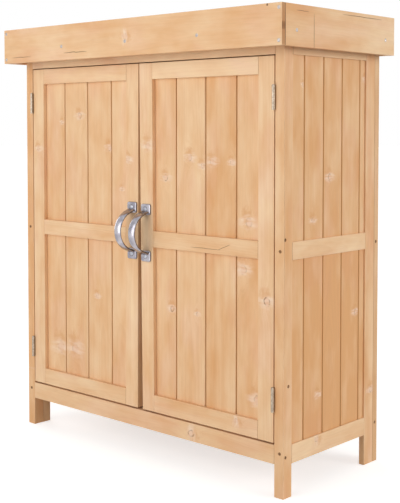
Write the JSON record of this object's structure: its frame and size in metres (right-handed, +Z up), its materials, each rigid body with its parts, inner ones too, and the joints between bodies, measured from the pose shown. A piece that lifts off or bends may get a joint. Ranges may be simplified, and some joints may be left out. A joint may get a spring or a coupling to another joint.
{
  "type": "garden storage cabinet",
  "caption": "Free-standing fir cabinet with two panelled doors on butt hinges, bow handles, a shelf and a flat overhanging roof.",
  "frame": {"origin": "on the ground, at the middle of the whole cabinet's footprint, roof edge and handles included", "axes": "+Z up, +X to the right seen from the front, +Y to the rear, so the doors face -Y"},
  "size_m": [0.776, 0.3619, 0.88],
  "materials": {
    "fir_frame": "planed, unpainted, clear and satin",
    "fir_boards": "planed tongue-and-groove boards with knots, satin",
    "fir_inside": "planed, untreated, matt",
    "zinc_steel": "zinc plated, slightly dull",
    "plated_handle": "bright nickel plate, soft reflections",
    "mineral_felt": "gritted bitumen roofing felt, matt",
    "catch_plastic": "moulded, matt"
  },
  "bodies": {
    "cabinet": {"back_boards": "fir_boards", "back_rails": "fir_inside", "back_stile_left": "fir_inside", "back_stile_right": "fir_inside", "cabinet_screws": "zinc_steel", "door_stops": "fir_inside", "floor_bearers": "fir_inside", "floor_boards": "fir_inside", "front_bottom_rail": "fir_frame", "front_post_left": "fir_frame", "front_post_right": "fir_frame", "front_top_rail": "fir_frame", "left_hinge_frame_leaves": "zinc_steel", "left_hinge_pins": "zinc_steel", "left_side_boards": "fir_boards", "left_side_bottom_rail": "fir_frame", "left_side_middle_rail": "fir_frame", "left_side_rear_stile": "fir_frame", "left_side_top_rail": "fir_frame", "magnetic_catch": "catch_plastic", "right_hinge_frame_leaves": "zinc_steel", "right_hinge_pins": "zinc_steel", "right_side_boards": "fir_boards", "right_side_bottom_rail": "fir_frame", "right_side_middle_rail": "fir_frame", "right_side_rear_stile": "fir_frame", "right_side_top_rail": "fir_frame", "roof_cross_battens": "fir_inside", "roof_deck_boards": "fir_inside", "roof_felt": "mineral_felt", "roof_front_fascia": "fir_frame", "roof_left_fascia": "fir_frame", "roof_rafters": "fir_inside", "roof_rear_fascia": "fir_inside", "roof_right_fascia": "fir_frame", "roof_screws": "zinc_steel", "shelf_bearers": "fir_inside", "shelf_boards": "fir_inside"},
    "left_door": {"left_door_boards": "fir_boards", "left_door_bottom_rail": "fir_frame", "left_door_hinge_stile": "fir_frame", "left_door_meeting_stile": "fir_frame", "left_door_middle_rail": "fir_frame", "left_door_screws": "zinc_steel", "left_door_top_rail": "fir_frame", "left_handle": "plated_handle", "left_hinge_door_leaves": "zinc_steel", "left_strike_plate": "zinc_steel"},
    "right_door": {"right_door_boards": "fir_boards", "right_door_bottom_rail": "fir_frame", "right_door_hinge_stile": "fir_frame", "right_door_meeting_stile": "fir_frame", "right_door_middle_rail": "fir_frame", "right_door_screws": "zinc_steel", "right_door_top_rail": "fir_frame", "right_handle": "plated_handle", "right_hinge_door_leaves": "zinc_steel", "right_strike_plate": "zinc_steel"}
  },
  "joints": [
    {"name": "left_door_hinge", "type": "hinge", "parent": "cabinet", "child": "left_door", "pos_m": [-0.34035, -0.13935, 0.448], "axis": [0, 0, -1], "range_deg": [0, 180]},
    {"name": "right_door_hinge", "type": "hinge", "parent": "cabinet", "child": "right_door", "pos_m": [0.34035, -0.13935, 0.448], "axis": [0, 0, 1], "range_deg": [0, 180]}
  ]
}
